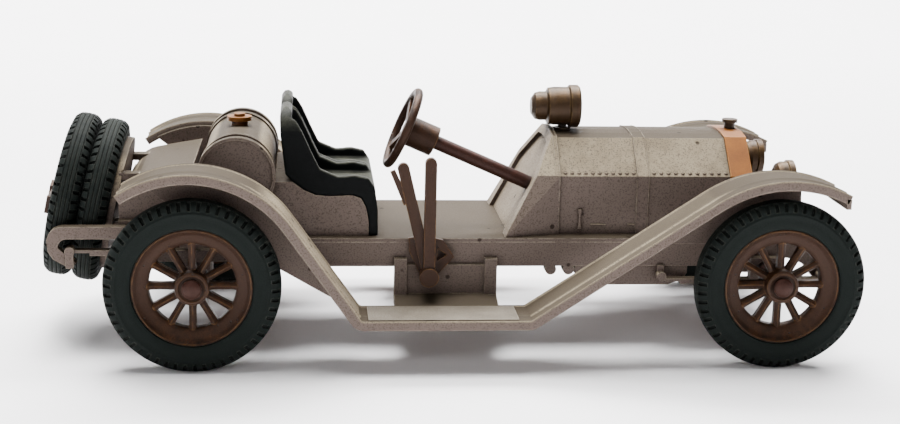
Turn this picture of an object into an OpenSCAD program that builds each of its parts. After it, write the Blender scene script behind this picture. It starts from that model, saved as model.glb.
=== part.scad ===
// Small cast-metal model of an early two-seat open sports car.
// Millimetres. +X is forward, +Y is the car's left, +Z is up.
// The origin is on the ground, under the middle of the car's bounding box.
// Inside each module the lengths run from the rear axle: place() moves them to the origin.

/* [Overall] */
// Distance between the two axles
wheel_base = 59.6; // [59.2:0.2:71.8]
// Width over the two wings
car_w = 35.6; // [34:0.2:43]

/* [Wheels and axles] */
// Outside diameter of a tyre
tyre_d = 17.6; // [15.8:0.1:21.2]
// Width of a tyre
tyre_w = 2.8; // [2.2:0.1:3.4]
// Diameter of the rim, which is the tyre's bore
rim_d = 12; // [10:0.1:13]
// Width of the rim
rim_w = 2.2; // [1.8:0.1:2.6]
// Height of the rim's sloping inner band
rim_band = 1.7; // [1.2:0.1:2]
// Number of spokes
spoke_n = 12; // [8:1:16]
// Width of a spoke
spoke_w = 0.75; // [0.5:0.05:1]
// Diameter of the hub
hub_d = 3.4; // [2.8:0.1:4.2]
// Length of the hub along the axle
hub_len = 3.3; // [2.8:0.1:3.8]
// Diameter of the axle rod
axle_d = 1.2; // [1:0.05:1.6]
// Diameter of the rivet head at each end of an axle
axle_head_d = 2; // [1.8:0.1:2.6]
// Thickness of that rivet head
axle_head_t = 0.45; // [0.3:0.05:0.6]
// Distance from the outside of the wing to the outer face of the tyre
tyre_inset = 1; // [0.8:0.1:1.6]

/* [Clearances] */
// Radial gap where an axle turns in a bore
run_gap = 0.05; // [0.02:0.01:0.1]
// End gap between a hub and the rivet head
end_gap = 0.1; // [0.05:0.05:0.3]
// Gap all round an axle where it passes through a spring clamp
clamp_gap = 0.3; // [0.2:0.05:0.5]
// Gap between pieces that stand side by side
side_gap = 0.15; // [0.1:0.05:0.4]

/* [Frame] */
// Width over the two frame rails
frame_w = 17.9; // [16.6:0.1:19]
// Thickness of a rail
rail_t = 1.3; // [1:0.1:1.6]
// Rise of the floor's top above the axles
deck_rise = 3.15; // [2.8:0.05:3.6]
// Thickness of the floor
deck_t = 0.4; // [0.3:0.05:0.6]
// Rise of the floor behind the seats
kick_up = 1.85; // [1.4:0.05:2.2]
// Depth of a rail under the floor
rail_h = 2.6; // [2.2:0.1:2.8]
// Thickness of the base plate
base_t = 0.8; // [0.6:0.1:1]
// Width of the base plate
base_w = 12; // [10:0.2:13]
// Depth of the sump under the base plate
sump_h = 1.35; // [0.7:0.05:1.6]
// Width of the sump
sump_w = 17.6; // [16.6:0.1:17.9]
// Thickness of a rear frame horn
horn_t = 1; // [0.8:0.1:1.2]

/* [Springs] */
// Width of a leaf
leaf_w = 1; // [0.8:0.1:1.2]
// Thickness of a leaf
leaf_t = 0.3; // [0.25:0.05:0.35]
// Number of leaves in a spring
leaf_n = 4; // [3:1:4]
// Distance from the rear axle back to the rear eye of its spring
rear_eye_back = 12.7; // [11:0.1:13]
// Distance from the rear axle forward to the other eye
rear_eye_fwd = 9.5; // [8.8:0.1:11]
// Distance from the front axle back to the rear eye of its spring
front_eye_back = 11; // [9.6:0.1:11.6]
// Distance from the front axle forward to the other eye
front_eye_fwd = 6.4; // [5.6:0.1:6.8]

/* [Wings] */
// Width of a wing and of a running board
wing_w = 5.8; // [5.4:0.1:7]
// Thickness of a wing
wing_t = 0.7; // [0.5:0.05:0.9]
// Depth of the skirt along a wing's outer edge
skirt_h = 0.85; // [0.7:0.05:1.3]
// Radius of the arch over a rear wheel
rear_arch_r = 12.2; // [11.6:0.1:13]
// Radius of the arch over a front wheel
front_arch_r = 13.5; // [12.6:0.1:14]
// Gap between a rear tyre and its wing
rear_arch_gap = 2.05; // [1.6:0.05:3]
// Gap between a front tyre and its wing
front_arch_gap = 1.6; // [1.4:0.05:2.6]
// Height of the running board's top
board_z = 5.5; // [5:0.1:6]
// Slope of the rear wing down to the running board, in degrees
rear_slope = 54.5; // [48:0.5:58]
// Slope of the front wing down to the running board, in degrees
front_slope = 33.5; // [30:0.5:37]
// Height of the rolled beads along a wing
bead_h = 0.15; // [0.1:0.05:0.3]
// Thickness of the valance along a wing's inner edge
valance_t = 0.6; // [0.5:0.05:0.8]

/* [Body] */
// Half width of the bonnet
bonnet_half = 7; // [5.8:0.1:7.4]
// Height of the bonnet's shoulder above the floor
shoulder_h = 6.25; // [5.6:0.05:7]
// Half width of the bonnet's flat crown
ridge_half = 3.5; // [2.8:0.1:4.2]
// Height of the bonnet's crown above the floor
crown_h = 10.05; // [9.4:0.05:11]
// How far the foot of the scuttle spreads at the dashboard
scuttle_flare = 1.3; // [0.4:0.1:1.6]
// Wall of the bonnet
bonnet_wall = 0.8; // [0.6:0.05:1]
// Length of the bonnet
bonnet_len = 18.25; // [16.6:0.05:19]
// Length of the radiator shell
radiator_len = 2.4; // [2:0.1:3]
// How far the scuttle and the radiator shell stand proud of the bonnet
proud = 0.25; // [0.15:0.05:0.4]
// Lean of the dashboard, in degrees
dash_lean = 28; // [22:0.5:32]
// Half width of the seat box
seat_half = 7.9; // [7.2:0.1:8.4]
// Height of the seat backs above the floor
seat_h = 13.3; // [12:0.05:14.4]
// Wall of a seat shell
seat_wall = 0.75; // [0.6:0.05:0.9]
// Diameter of the fuel tank's end caps
tank_d = 8; // [7:0.1:8.2]
// Length of the fuel tank
tank_len = 18; // [16:0.1:18.4]
// Half width of the tail box
tail_half = 8.2; // [7.4:0.1:8.3]

/* [Controls and lamps] */
// Diameter of the steering wheel
steer_d = 9.1; // [8:0.1:10]
// Diameter of the steering column
column_d = 1.5; // [1.2:0.1:1.8]
// Slope of the steering column, in degrees
column_slope = 23.4; // [20:0.2:28]
// How far the steering wheel sits to the right of the middle
steer_y = 3.3; // [2.8:0.1:4]
// Width of a hand lever
lever_w = 1.2; // [0.9:0.05:1.4]
// Thickness of a hand lever
lever_t = 0.7; // [0.5:0.05:0.8]
// Diameter of the pin that the levers hang on
pivot_d = 1.1; // [0.9:0.05:1.2]
// Diameter of a headlamp
lamp_d = 4.1; // [3.6:0.1:4.6]
// Diameter of the searchlight's rim
search_d = 4.6; // [4.2:0.1:5.2]
// Lean of the two spare tyres, in degrees
spare_lean = 12; // [8:0.5:15]

/* [Hidden] */
$fn = 72;

// colours
silver = "#a39c92";
bronze = "#80512c";
black = "#22292a";
rubber = "#2c3332";
brass = "#b98236";
steel = "#8f8b84";

// wheels and axles
axle_z = tyre_d / 2;
axle_r = axle_d / 2;
wheel_y = car_w / 2 - tyre_inset - tyre_w / 2;
hub_out = tyre_w / 2 + 0.1;
tread_bevel = 0.7;
front_axle_x = wheel_base;

// floor and frame
deck_z = axle_z + deck_rise;
rear_floor = deck_z + kick_up;
kick_x = [4.6, 8];
floor_back = -7.9;
floor_front = front_axle_x + 4.4;
rail_y = frame_w / 2;
rail_in = rail_y - rail_t;
rail_top = deck_z - deck_t;
rail_low = rail_top - rail_h;
rail_back = -6.5;
rear_rail_z = rear_floor - deck_t;
rear_rail_h = 1.3;

// the base plate lies under the rails and steps up over each axle
base_z = rail_low - 0.75;
pad_z = axle_z + 1.4;
sump_z = base_z - sump_h;
lug_half = 1.4;
lug_t = 1.6;
rivet_x = [16.5, front_axle_x - 24.9];
rivet_r = 0.7;
rivet_len = 2.2;
rivet_head_r = 1.3;
rivet_head_t = 0.35;

// springs and horns: the rear springs and the horns pass outside the spare tyres
front_spring_y = rail_y + side_gap;
rear_spring_y = max(front_spring_y, tyre_d / 2 + side_gap);
eye_r = 0.5;
clamp_half = 1.5;
rear_spring_z = axle_z + 2.2;
front_spring_z = axle_z - 0.95;
horn_in = max(rail_y - 0.2, tyre_d / 2 + side_gap);
horn_out = horn_in + horn_t;
shackle_t = 0.25;
shackle_y = max(rear_spring_y + leaf_w, horn_out);
shackle_len = 1.3;

// wings: the path of a wing's top is a big arc over each wheel and straight runs to the board
wing_out = car_w / 2;
wing_in = wing_out - wing_w;
rear_tip = -7.1;
front_tip = front_axle_x + 6.15;
rear_top = tyre_d + rear_arch_gap + wing_t;
front_top = tyre_d + front_arch_gap + wing_t;
rear_arch = [-0.25, rear_top - rear_arch_r];
front_arch = [front_axle_x, front_top - front_arch_r];

// step hangers
step_x = [20.35, 31.1];
step_t = 0.5;
step_rib_w = 1.3;
step_rib_t = 0.3;
shelf_rise = 0.65;

// body, set out from the radiator backwards
nose_x = front_axle_x - 3.45;
bonnet_x = nose_x - bonnet_len;
dash_x = bonnet_x - 5.9;
shoulder_z = deck_z + shoulder_h;
crown_z = deck_z + crown_h;
band_x = bonnet_x + 8.2;
band_len = 1.35;
dash_rim = 0.7;
dash_recess = 0.5;
radiator_rim = 0.9;

// seats
seat_x = 8;
seat_top = deck_z + seat_h;
seat_round = 2.8;

// tail and tank
tank_r = tank_d / 2;
tank_at = [4.1, rear_floor + 0.75 + tank_r];
strap_y = 6.1;
strap_w = 0.8;
strap_t = 0.2;
tank_body_r = tank_r - 0.25;

// spare tyres, stacked rearwards on a drum that leans with them
spare_at = [-10.7, 0, rear_floor + 0.25];
spare_pitch = tyre_w + side_gap;
plate_t = 0.7;
plate_rim = 1.2;
clamp_t = 0.5;
arm_y = [4.4, 5.8];

// steering
steer_at = [dash_x - 10.6, deck_z + 10.65];
boss_r = 1.6;
boss_len = 3.7;
socket = 1.2;
// length of the column from the steering wheel to the dashboard
column_len = (dash_x - steer_at[0] + (steer_at[1] - deck_z) * tan(dash_lean))
    / (cos(column_slope) + sin(column_slope) * tan(dash_lean));

// levers, from the quadrant outwards
pivot_at = [23.86, rail_low - 0.55];
quad_t = 0.4;
quad_y = rail_y + step_t;
brake_y = quad_y + quad_t;
gear_y = brake_y + lever_t;
cap_y = gear_y + lever_t;
brake_tip = pivot_at + [-2.89, 11.8];
gear_tip = pivot_at + [0.02, 12.5];

// lamps
lamp_x = nose_x + radiator_len + 2.6;
lamp_y = 6;
lamp_z = deck_z + 5.85;
lamp_len = 2;
lamp_post_r = 0.45;
search_x = bonnet_x - 2.5;
search_z = crown_z + proud + search_d / 2;
search_foot_r = 0.95;
search_foot_x = bonnet_x + side_gap + search_foot_r;

// overall box along the car
spare_reach = (tyre_w / 2 + spare_pitch) * cos(spare_lean) + (tyre_d / 2 - tread_bevel) * sin(spare_lean);
car_front = front_axle_x + tyre_d / 2;
mid_x = (spare_at[0] - spare_reach + car_front) / 2;

// ---- helpers ----

// moves a shape from the ground under the rear axle to the row's origin
module place() translate([-mid_x, 0, 0]) children();

// extrudes an outline drawn in X and Z from y0 to y1
module across(y0, y1) translate([0, y1, 0]) rotate([90, 0, 0]) linear_extrude(y1 - y0) children();

// extrudes an outline drawn in Y and Z from x0 to x1
module along(x0, x1) translate([x0, 0, 0]) rotate([90, 0, 90]) linear_extrude(x1 - x0) children();

// a bar along Y
module bar(x, z, r, y0, y1) translate([x, y1, z]) rotate([90, 0, 0]) cylinder(r = r, h = y1 - y0);

module both_sides() {
    children();
    mirror([0, 1, 0]) children();
}

// a box given by its low and high corners
module block(a, b) translate(a) cube(b - a);

// points on an arc, with angles from the vertical, positive towards the front
function arch(c, r, a0, a1, n) =
    [for (i = [0:n]) let (a = a0 + (a1 - a0) * i / n) c + r * [sin(a), cos(a)]];

function reversed(p) = [for (i = [len(p) - 1:-1:0]) p[i]];

// where a straight run of the given slope, tangent to an arch, comes down to a height
function foot(c, r, slope, z) =
    let (p = c + r * [sin(slope), cos(slope)]) [p[0] + (p[1] - z) / tan(slope), z];

// the wing's line at a depth below its top
function rear_line(d) = let (r = rear_arch_r - d)
    arch(rear_arch, r, asin((rear_tip - rear_arch[0]) / r), rear_slope, 16);
function front_line(d) = let (r = front_arch_r - d)
    arch(front_arch, r, -front_slope, asin((front_tip - front_arch[0]) / r), 12);
function rear_foot(d) = foot(rear_arch, rear_arch_r - d, rear_slope, board_z - d);
function front_foot(d) = foot(front_arch, front_arch_r - d, -front_slope, board_z - d);
function wing_line(d) = concat(
    rear_line(d),
    [rear_foot(d), front_foot(d)],
    front_line(d));

// ---- frame ----

function rail_outline() = [
    [rail_back, rear_rail_z], [kick_x[0], rear_rail_z], [kick_x[1], rail_top],
    [front_axle_x + 2.2, rail_top], [front_axle_x + 4.8, rail_top - 0.7],
    [front_axle_x + 7, rail_top - 2.6],
    [front_axle_x + 7, rail_top - 4], [front_axle_x + 5.9, rail_top - 4],
    [front_axle_x + 4.6, rail_top - 2.4],
    [front_axle_x + 2.8, axle_z + 1], [front_axle_x - 3.4, axle_z + 1], [front_axle_x - 5, rail_low],
    [9.5, rail_low], [3, axle_z + 2.3], [rail_back, rear_rail_z - rear_rail_h]];

// the rear horns curl down and back to carry the shackles
function horn_outline() = concat(
    [[-4, rear_rail_z - rear_rail_h], [-4, rear_rail_z]],
    arch([-13.4, rear_rail_z - 1.6], 1.6, 0, -90, 6),
    [[-14.9, rear_rail_z - 2.6], [-14.4, rear_rail_z - 3.4], [-12.7, rear_rail_z - 4.4],
        [-12.1, rear_rail_z - 3.8], [-12.6, rear_rail_z - 3.4]],
    arch([-13, rear_rail_z - 2.2], 0.9, -90, 0, 6));

// a cross member between the rails
module cross_member(x0, x1, low, top) block([x0, -rail_in, low], [x1, rail_in, top]);

module chassis_frame() color(silver) place() {
    both_sides() {
        difference() {
            across(-rail_y, -rail_in) polygon(rail_outline());
            // blind socket for the lever pin
            bar(pivot_at[0], pivot_at[1], pivot_d / 2, -rail_y, -rail_in - 0.3);
        }
        across(-horn_out, -horn_in) polygon(horn_outline());
        // root of the horn
        block([rail_back, -horn_out, rear_rail_z - rear_rail_h], [-4, -rail_in, rear_rail_z]);
        // lugs of the gearbox mounting
        for (x = [front_axle_x - 22.7, front_axle_x - 20.8])
            bar(x, rail_low - 0.35, 0.6, -rail_y, -rail_in);
    }
    cross_member(rail_back, -5, rear_rail_z - rear_rail_h, rear_rail_z);
    difference() {
        for (x = rivet_x) cross_member(x - 1.5, x + 1.5, base_z + base_t, rail_top);
        for (x = rivet_x) translate([x, 0, base_z]) cylinder(r = rivet_r, h = rivet_len);
    }
    cross_member(front_axle_x + 3.3, front_axle_x + 4.4, axle_z + 1.1, rail_top - 0.7);
}

module floor_deck() color(silver) place()
    across(-rail_y, rail_y)
        polygon([[floor_back, rear_floor], [kick_x[0], rear_floor], [kick_x[1], deck_z],
            [floor_front, deck_z], [floor_front, rail_top], [kick_x[1], rail_top],
            [kick_x[0], rear_rail_z], [floor_back, rear_rail_z]]);

// the base plate carries the bearing lugs of both axles
module base_plate() color(steel) place() difference() {
    union() {
        across(-base_w / 2, base_w / 2)
            polygon([[-2, pad_z], [-2, pad_z + base_t], [7, pad_z + base_t], [10, base_z + base_t],
                [front_axle_x - 7.6, base_z + base_t], [front_axle_x - 4.6, pad_z + base_t - 0.1],
                [front_axle_x + 2, pad_z + base_t - 0.1], [front_axle_x + 2, pad_z - 0.1],
                [front_axle_x - 4, pad_z - 0.1], [front_axle_x - 7.2, base_z], [9.6, base_z],
                [6.6, pad_z]]);
        both_sides() for (x = [0, front_axle_x])
            block([x - lug_half, -base_w / 2, axle_z - lug_half],
                  [x + lug_half, -base_w / 2 + lug_t, pad_z + 0.2]);
    }
    for (x = [0, front_axle_x]) bar(x, axle_z, axle_r + run_gap, -base_w, base_w);
    for (x = rivet_x) rivet(x);
}

module rivet(x) translate([x, 0, base_z]) {
    cylinder(r = rivet_r, h = rivet_len);
    cylinder(r = rivet_head_r, h = rivet_head_t);
}

module sump() color(steel) place() {
    across(-sump_w / 2, sump_w / 2)
        polygon([[front_axle_x - 20.1, base_z], [front_axle_x - 18.6, sump_z], [front_axle_x - 10, sump_z],
            [front_axle_x - 8.4, sump_z + 0.6], [front_axle_x - 8, base_z]]);
    // each side wall rises to its rail
    both_sides()
        block([front_axle_x - 20.1, -sump_w / 2, base_z - 0.1], [front_axle_x - 8, -rail_in, rail_low]);
}

module base_rivets() color(steel) place() for (x = rivet_x) rivet(x);

// ---- wings and running boards ----

module wing_strip(d0, d1, y0, y1) across(y0, y1) polygon(concat(wing_line(d0), reversed(wing_line(d1))));

// the valances close the inner side of each wheel arch
module valances() across(-wing_in - valance_t, -wing_in) {
    low = rear_foot(wing_t / 2);
    polygon(concat([for (p = rear_line(wing_t / 2)) if (p[0] > rear_tip + 1.2) p],
        [low, [low[0] - 3.2, board_z + 1.2], [-0.9, rear_top - 5.4]]));
    front_end = front_axle_x + 3;
    front_low = deck_z + 0.2;
    polygon(concat([for (p = front_line(wing_t / 2)) if (p[0] < front_end) p],
        [[front_end, front_top - 1.6], [front_end, front_low],
         foot(front_arch, front_arch_r - wing_t / 2, -front_slope, front_low)]));
}

// a stay from the valance to the body
module stay(x0, x1, body_y, low, top) block([x0, -wing_in - valance_t, low], [x1, -body_y, top]);

module wing() {
    wing_strip(0, wing_t, -wing_out, -wing_in);
    wing_strip(0, skirt_h, -wing_out, -wing_out + wing_t);
    // rolled beads along the outer and inner edges
    for (y = [[0, 0.45], [wing_w - 0.35, wing_w]])
        wing_strip(-bead_h, wing_t / 2, -wing_out + y[0], -wing_out + y[1]);
    // a third bead along each wing stops at the board
    difference() {
        wing_strip(-bead_h, wing_t / 2, -wing_out + 1.7, -wing_out + 2.3);
        block([rear_foot(0)[0] + 0.4, -wing_out, board_z], [front_foot(0)[0] - 0.4, -wing_in, board_z + 1]);
    }
    // a lip turned down across the front tip
    tip_z = front_arch[1] + sqrt(pow(front_arch_r, 2) - pow(front_tip - front_arch[0], 2));
    block([front_tip - 0.5, -wing_out, tip_z - 1.25], [front_tip, -wing_in, tip_z - 0.2]);
    valances();
    stay(-1.6, -0.2, tail_half + side_gap, rear_floor, rear_top - 4.8);
    stay(front_axle_x - 2.6, front_axle_x - 1.2, bonnet_half + 2 * proud, deck_z, deck_z + 0.6);
}

module right_wing() color(silver) place() wing();
module left_wing() color(silver) place() mirror([0, 1, 0]) wing();

module tread() {
    block([rear_foot(0)[0] + 0.8, -wing_out + 0.6, board_z],
          [front_foot(0)[0] - 1.2, -wing_in - 0.5, board_z + 0.15]);
}
module right_tread() color(steel) place() tread();
module left_tread() color(steel) place() mirror([0, 1, 0]) tread();

// the step hanger: an apron under the rail, a shelf to the board and a rib at each end
module step(pin) difference() {
    union() {
        block([step_x[0], -rail_y - step_t, board_z - 0.5], [step_x[1], -rail_y, rail_low + 0.3]);
        // the shelf rises a little towards the apron
        along(step_x[0], step_x[1])
            polygon([[-wing_in, board_z - 0.5], [-rail_y, board_z - 0.5], [-rail_y, board_z + shelf_rise],
                [-rail_y - step_t, board_z + shelf_rise], [-wing_in, board_z]]);
        for (x = [step_x[0], step_x[1] - step_rib_w])
            block([x, -rail_y - step_t - step_rib_t, board_z - 0.4],
                  [x + step_rib_w, -rail_y, rail_low + 1]);
    }
    if (pin) bar(pivot_at[0], pivot_at[1], pivot_d / 2, -wing_in, -rail_y + 1);
}
module right_step() color(silver) place() step(true);
module left_step() color(silver) place() mirror([0, 1, 0]) step(false);

// ---- springs ----

// a leaf spring: leaves that get shorter away from the main leaf, eyes, a clamp round the axle
module spring(axle_x, y, top, eye_z, back, front) {
    y0 = -y - leaf_w;
    y1 = -y;
    pack = leaf_n * leaf_t;
    difference() {
        union() {
            for (i = [0:leaf_n - 1])
                block([axle_x - back + 0.4 + i * 1.6, y0, top - (i + 1) * leaf_t],
                      [axle_x + front - 0.4 - i * 1.2, y1, top - i * leaf_t]);
            for (x = [axle_x - back, axle_x + front]) bar(x, eye_z, eye_r, y0, y1);
            block([axle_x - clamp_half, y0, min(axle_z - 1.3, top - pack)],
                  [axle_x + clamp_half, y1, max(axle_z + 1.3, top)]);
        }
        bar(axle_x, axle_z, axle_r + clamp_gap, y0 - 1, y1 + 1);
    }
}

// rear spring with a shackle down to the horn and a hanger from the rail
module rear_spring() {
    z = rear_spring_z - leaf_t / 2;
    spring(0, rear_spring_y, rear_spring_z, z, rear_eye_back, rear_eye_fwd);
    bar(-rear_eye_back, z, eye_r, -shackle_y - shackle_t, -rear_spring_y);
    bar(-rear_eye_back, z - shackle_len, eye_r * 0.9, -shackle_y - shackle_t, -horn_out);
    block([-rear_eye_back - 0.4, -shackle_y - shackle_t, z - shackle_len - 0.4],
          [-rear_eye_back + 0.4, -shackle_y, z + 0.4]);
    block([rear_eye_fwd - 0.4, -rear_spring_y - leaf_w, rail_low + 1.2],
          [rear_eye_fwd + 0.4, -rail_y, rear_spring_z]);
}
module front_spring() {
    z = front_spring_z + 0.2;
    spring(front_axle_x, front_spring_y, front_spring_z, z, front_eye_back, front_eye_fwd);
    for (x = [front_axle_x - front_eye_back, front_axle_x + front_eye_fwd])
        block([x - 0.35, -front_spring_y - 0.3, front_spring_z - 0.3], [x + 0.35, -rail_y, rail_top - 2.4]);
}
module rear_right_spring() color(silver) place() rear_spring();
module rear_left_spring() color(silver) place() mirror([0, 1, 0]) rear_spring();
module front_right_spring() color(silver) place() front_spring();
module front_left_spring() color(silver) place() mirror([0, 1, 0]) front_spring();

// ---- axles and wheels ----

module axle(x) {
    tip = wheel_y + hub_out + end_gap;
    bar(x, axle_z, axle_r, -tip, tip);
    both_sides() bar(x, axle_z, axle_head_d / 2, tip, tip + axle_head_t);
}
module rear_axle() color(steel) place() axle(0);
module front_axle() color(steel) place() axle(front_axle_x);

// a wheel drawn about Z with its outer face up
module wheel() {
    rim_r = rim_d / 2;
    in_r = rim_r - rim_band;
    difference() {
        union() {
            rotate_extrude()
                polygon([[rim_r, -rim_w / 2], [rim_r, rim_w / 2], [rim_r - 0.35, rim_w / 2],
                    [in_r, rim_w / 2 - 0.75], [in_r, -rim_w / 2 + 0.5], [rim_r - 0.35, -rim_w / 2]]);
            for (i = [0:spoke_n - 1]) rotate(90 + i * 360 / spoke_n)
                translate([hub_d / 2 - 0.5, -spoke_w / 2, -0.45])
                    cube([in_r - hub_d / 2 + 0.9, spoke_w, 0.9]);
            translate([0, 0, -hub_len + hub_out]) cylinder(d = hub_d, h = hub_len);
        }
        translate([0, 0, -hub_len]) cylinder(r = axle_r + run_gap, h = 3 * hub_len);
    }
}

module tyre() {
    r = tyre_d / 2;
    w = tyre_w / 2;
    rotate_extrude()
        polygon([[rim_d / 2, -w + 0.2], [rim_d / 2 + 0.5, -w], [r - tread_bevel, -w], [r - 0.3, -w + 0.15],
            [r, -w + 0.5], [r, w - 0.5], [r - 0.3, w - 0.15], [r - tread_bevel, w], [rim_d / 2 + 0.5, w],
            [rim_d / 2, w - 0.2]]);
}

module at_right(x) translate([x, -wheel_y, axle_z]) rotate([90, 0, 0]) children();
module at_left(x) mirror([0, 1, 0]) at_right(x) children();

module rear_right_wheel() color(bronze) place() at_right(0) wheel();
module rear_left_wheel() color(bronze) place() at_left(0) wheel();
module front_right_wheel() color(bronze) place() at_right(front_axle_x) wheel();
module front_left_wheel() color(bronze) place() at_left(front_axle_x) wheel();
module rear_right_tyre() color(rubber) place() at_right(0) tyre();
module rear_left_tyre() color(rubber) place() at_left(0) tyre();
module front_right_tyre() color(rubber) place() at_right(front_axle_x) tyre();
module front_left_tyre() color(rubber) place() at_left(front_axle_x) tyre();

// ---- tail, tank and spares ----

function tail_outline() = concat(
    [[floor_back, rear_floor], [floor_back, rear_floor + 2.4]],
    arch([-4.9, rear_floor + 1.6], 2.9, -74, -10, 5),
    [[-0.4, rear_floor + 5.35], [-0.4, rear_floor]]);

module tail_block() across(-tail_half, tail_half) polygon(tail_outline());
module tail_box() color(silver) place() tail_block();

module tank_bar(r, y0, y1) bar(tank_at[0], tank_at[1], r, y0, y1);

module tank_saddles() color(silver) place() difference() {
    both_sides() block([0.6, -strap_y - strap_w, rear_floor], [kick_x[0], -strap_y, tank_at[1] - 1.5]);
    tank_bar(tank_body_r + strap_t, -tank_len, tank_len);
}

module fuel_tank() color(silver) place() {
    tank_bar(tank_body_r, -tank_len / 2, tank_len / 2);
    both_sides() difference() {
        tank_bar(tank_r, -tank_len / 2 - 0.2, -tank_len / 2 + 0.6);
        tank_bar(tank_r - 0.3, -tank_len / 2 - 0.3, -tank_len / 2);
    }
}

module tank_straps() color(silver) place() both_sides() difference() {
    tank_bar(tank_body_r + strap_t, -strap_y - strap_w, -strap_y);
    tank_bar(tank_body_r, -tank_len, tank_len);
}

module filler_cap() color(brass) place() difference() {
    translate([tank_at[0], 0, tank_at[1]]) {
        cylinder(r = 0.9, h = tank_r + 0.4);
        translate([0, 0, tank_r + 0.2]) cylinder(r = 1.3, h = 0.45);
        translate([0, 0, tank_r + 0.6]) cylinder(r = 0.6, h = 0.35);
    }
    tank_bar(tank_body_r, -tank_len, tank_len);
}

// the spares' own frame: Z runs rearwards along the drum, the inner tyre is centred at 0
module spare_frame() translate(spare_at) rotate([0, -90 + spare_lean, 0]) children();

module spare_carrier() color(silver) place() {
    // a back plate and a drum that fills the bores of both tyres
    spare_frame() translate([0, 0, -tyre_w / 2 - plate_t]) {
        cylinder(r = rim_d / 2 + plate_rim, h = plate_t);
        cylinder(r = rim_d / 2, h = plate_t + tyre_w + spare_pitch);
    }
    // arms forward to the frame's rear cross member and to the tail box
    both_sides() difference() {
        union() {
            block([-10, -arm_y[1], rear_rail_z - 1.2], [rail_back, -arm_y[0], rear_rail_z - 0.4]);
            block([-9, -arm_y[1], rear_floor + 3.6], [-4, -arm_y[0], rear_floor + 4.3]);
        }
        spare_frame() translate([0, 0, -tyre_w / 2 - plate_t / 2]) cylinder(r = tyre_d, h = tyre_d);
        tail_block();
    }
}

module inner_spare_tyre() color(rubber) place() spare_frame() tyre();
module outer_spare_tyre() color(rubber) place() spare_frame() translate([0, 0, spare_pitch]) tyre();

// the clamp bar across the outer tyre, with its nut
module spare_clamp() color(bronze) place() spare_frame() translate([0, 0, tyre_w / 2 + spare_pitch]) {
    translate([-0.9, -rim_d / 2 - 1, 0]) cube([1.8, rim_d + 2, clamp_t]);
    translate([0, 0, clamp_t]) cylinder(r = 1, h = 0.6, $fn = 6);
}

// ---- seats ----

// the line where the black seat shells lie on the seat box, from back to front
seat_line = [[9.8, deck_z + 5.75], [10.9, deck_z + 4.92], [12.2, deck_z + 4.35], [13.7, deck_z + 4.25],
    [15.95, deck_z + 4.35], [16.9, deck_z + 4.02], [17.42, deck_z + 3], [17.7, deck_z + 1.6],
    [17.7, deck_z]];
seat_back_line = [[9.05, deck_z + 6.5], [8.55, deck_z + 10.6], [8.5, seat_top - 0.8], [8.8, seat_top - 0.2],
    [9.25, seat_top], [9.65, seat_top - 0.35]];
seat_arm_line = [[10.8, deck_z + 10.95], [11.75, deck_z + 8.85], [12.6, deck_z + 7.1],
    [14.5, deck_z + 6.3], [16.25, deck_z + 6.45], [17.65, deck_z + 6.15], [18.35, deck_z + 5.1],
    [18.65, deck_z + 2.8], [18.7, deck_z]];

module seat_box() color(silver) place()
    across(-seat_half, seat_half) polygon(concat([[seat_x, deck_z], [seat_x, deck_z + 5.75]], seat_line));

// one bucket, on the right side
module seat() {
    out = seat_half;
    in = side_gap / 2;
    difference() {
        intersection() {
            across(-out, -in) polygon(concat(seat_back_line, seat_arm_line, reversed(seat_line)));
            along(seat_x, 20) polygon(concat([[-in, deck_z - 1], [-out, deck_z - 1]],
                arch([-out + seat_round, seat_top - seat_round], seat_round, -90, 0, 8),
                arch([-in - seat_round, seat_top - seat_round], seat_round, 0, 90, 8)));
        }
        // the hollow that is sat in
        across(-out + seat_wall, -in - seat_wall)
            polygon([[9.95, seat_top + 1], [9.5, deck_z + 10.5], [10, deck_z + 7.2], [11.3, deck_z + 5.9],
                [13.4, deck_z + 5.35], [17.3, deck_z + 5.3], [19, deck_z + 5.3], [19, seat_top + 1]]);
    }
}
module driver_seat() color(black) place() seat();
module passenger_seat() color(black) place() mirror([0, 1, 0]) seat();

// ---- scuttle, bonnet and radiator ----

// half of the cross-section's upper line, from the shoulder to the crown, grown by e
function bonnet_half_line(e) = [[bonnet_half + e, shoulder_z + 0.4 * e],
    [ridge_half + 0.6 * e, crown_z - 0.3 + 0.8 * e], [ridge_half / 2, crown_z - 0.08 + e],
    [0, crown_z + e]];
function bonnet_section(e, low, foot_half = bonnet_half) = let (h = bonnet_half_line(e)) concat(
    [[-foot_half - e, low]], [for (p = h) [-p[0], p[1]]], [for (i = [2:-1:0]) h[i]],
    [[foot_half + e, low]]);

// everything behind the dashboard's face, moved forward by depth
module dash_cut(depth) translate([dash_x + depth, -20, deck_z]) rotate([0, dash_lean, 0])
    translate([-30, 0, -10]) cube([30, 40, 40]);

module column_bar(r, a, b) translate([steer_at[0], -steer_y, steer_at[1]]) rotate([0, 90 + column_slope, 0])
    translate([0, 0, a]) cylinder(r = r, h = b - a);

module scuttle() color(silver) place() difference() {
    hull() {
        along(dash_x, dash_x + 0.1) polygon(bonnet_section(proud, deck_z, bonnet_half + scuttle_flare));
        along(bonnet_x - 0.1, bonnet_x) polygon(bonnet_section(proud, deck_z));
    }
    dash_cut(0);
    // the dashboard is let in behind a rim
    intersection() {
        along(dash_x, bonnet_x) polygon(bonnet_section(-dash_rim, deck_z - 1));
        dash_cut(dash_recess);
    }
    column_bar(column_d / 2, 0, column_len + socket);
}

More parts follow.
